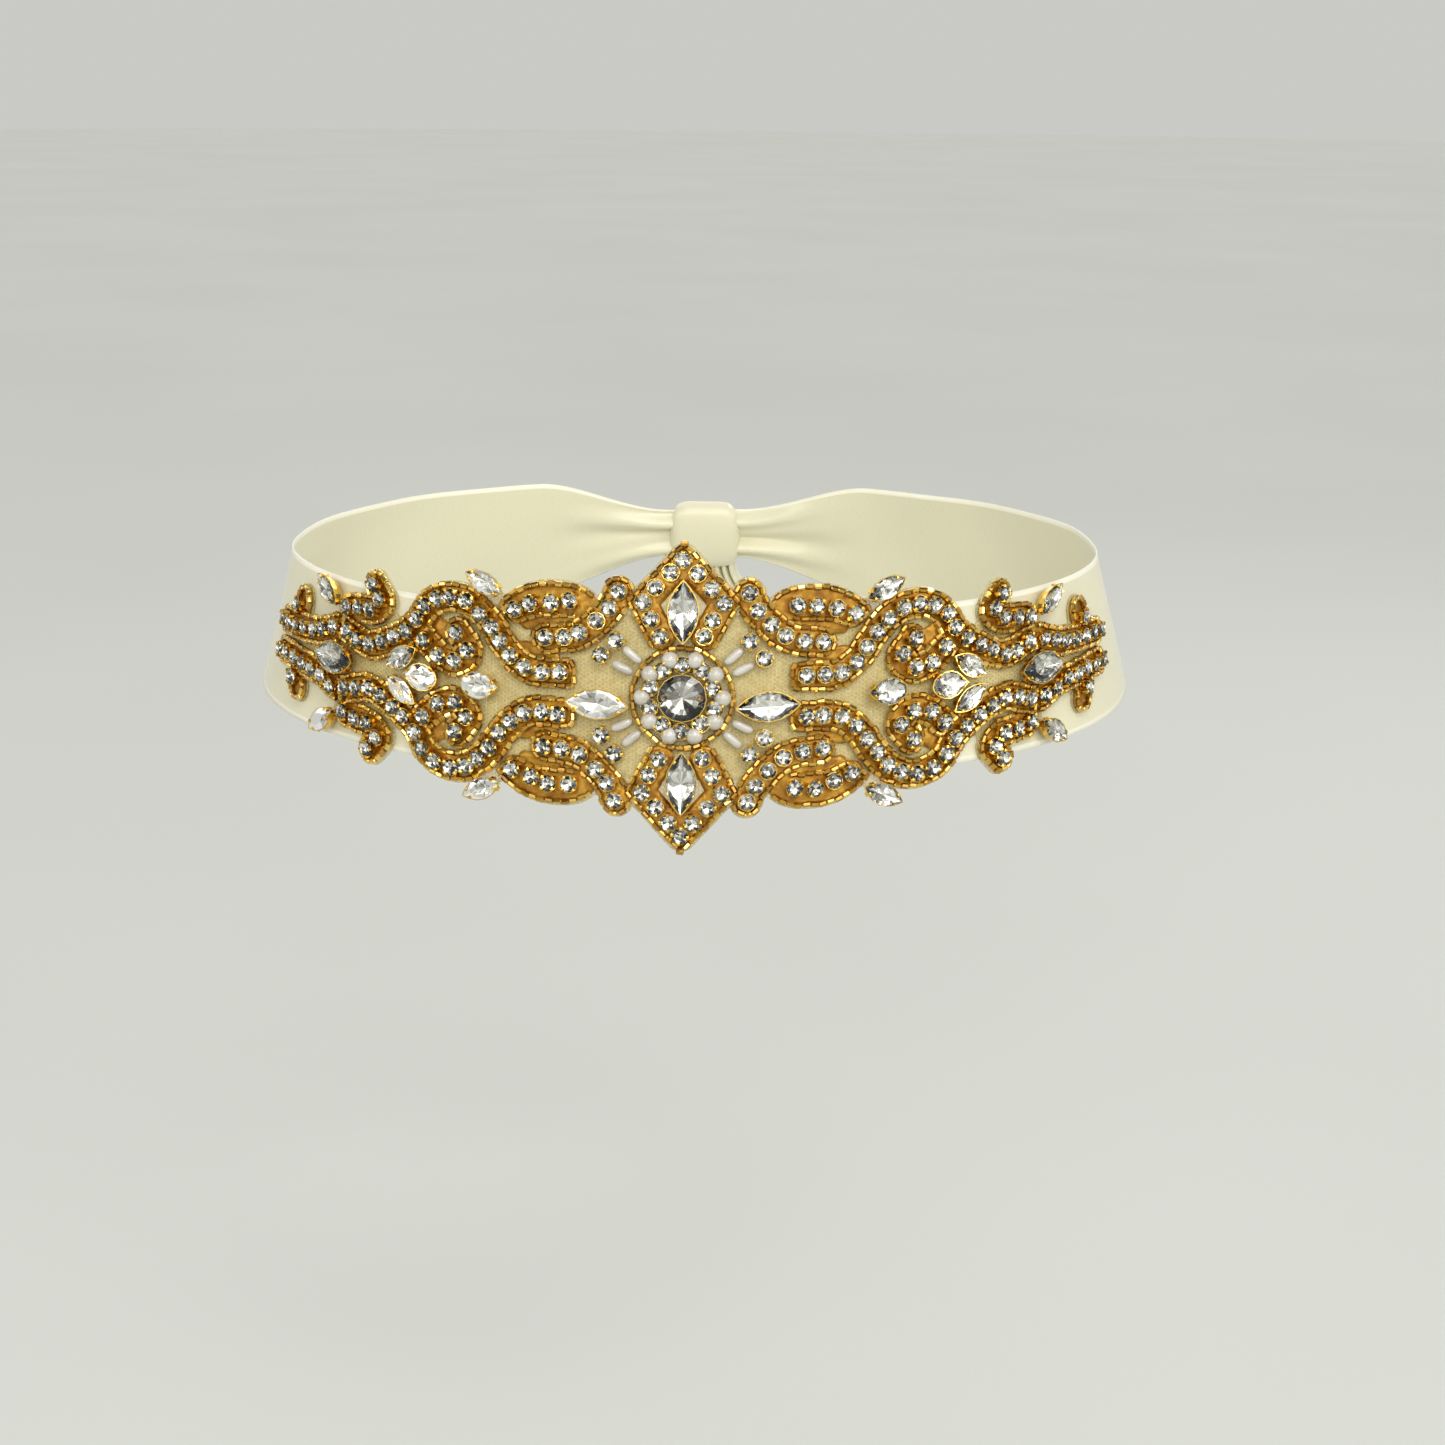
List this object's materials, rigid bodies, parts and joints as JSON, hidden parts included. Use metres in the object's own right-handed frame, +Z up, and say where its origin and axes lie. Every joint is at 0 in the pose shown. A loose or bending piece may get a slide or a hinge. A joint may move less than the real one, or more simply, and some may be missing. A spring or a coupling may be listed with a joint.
{
  "type": "bridal sash",
  "caption": "Satin ribbon sash worn round the waist, with a gold beaded rhinestone applique on its front and a flat knot with trimmed tails at the back.",
  "frame": {"origin": "middle of the waist opening, half way up the ribbon, where the wearer's waist holds the sash", "axes": "+Z up, the front faces -Y, and +X is the wearer's left"},
  "size_m": [0.2306, 0.2048, 0.1154],
  "materials": {
    "satin": "ivory double-face satin ribbon with a soft sheen",
    "gold_beading": "gold-lined glass beads and claw-set round stones on net",
    "crystal": "clear cut glass stone in a gold claw cup",
    "pearl": "white oval pearl bead"
  },
  "bodies": {
    "root": {"applique": "gold_beading", "bud_leaf_lower_left": "crystal", "bud_leaf_lower_right": "crystal", "bud_leaf_upper_left": "crystal", "bud_leaf_upper_right": "crystal", "bud_left": "crystal", "bud_right": "crystal", "centre_stone": "crystal", "drop_left": "crystal", "drop_right": "crystal", "end_leaf_lower_left": "crystal", "end_leaf_lower_right": "crystal", "end_leaf_upper_left": "crystal", "end_leaf_upper_right": "crystal", "eye_left": "crystal", "eye_right": "crystal", "outer_leaf_lower_left": "crystal", "outer_leaf_lower_right": "crystal", "outer_leaf_upper_left": "crystal", "outer_leaf_upper_right": "crystal", "petal_lower": "crystal", "petal_upper": "crystal", "ribbon_band": "satin", "ribbon_knot": "satin", "ribbon_tail_left": "satin", "ribbon_tail_right": "satin", "rice_pearl_1_lower_left": "pearl", "rice_pearl_1_lower_right": "pearl", "rice_pearl_1_upper_left": "pearl", "rice_pearl_1_upper_right": "pearl", "rice_pearl_2_lower_left": "pearl", "rice_pearl_2_lower_right": "pearl", "rice_pearl_2_upper_left": "pearl", "rice_pearl_2_upper_right": "pearl", "wing_petal_left": "crystal", "wing_petal_right": "crystal"}
  },
  "joints": []
}
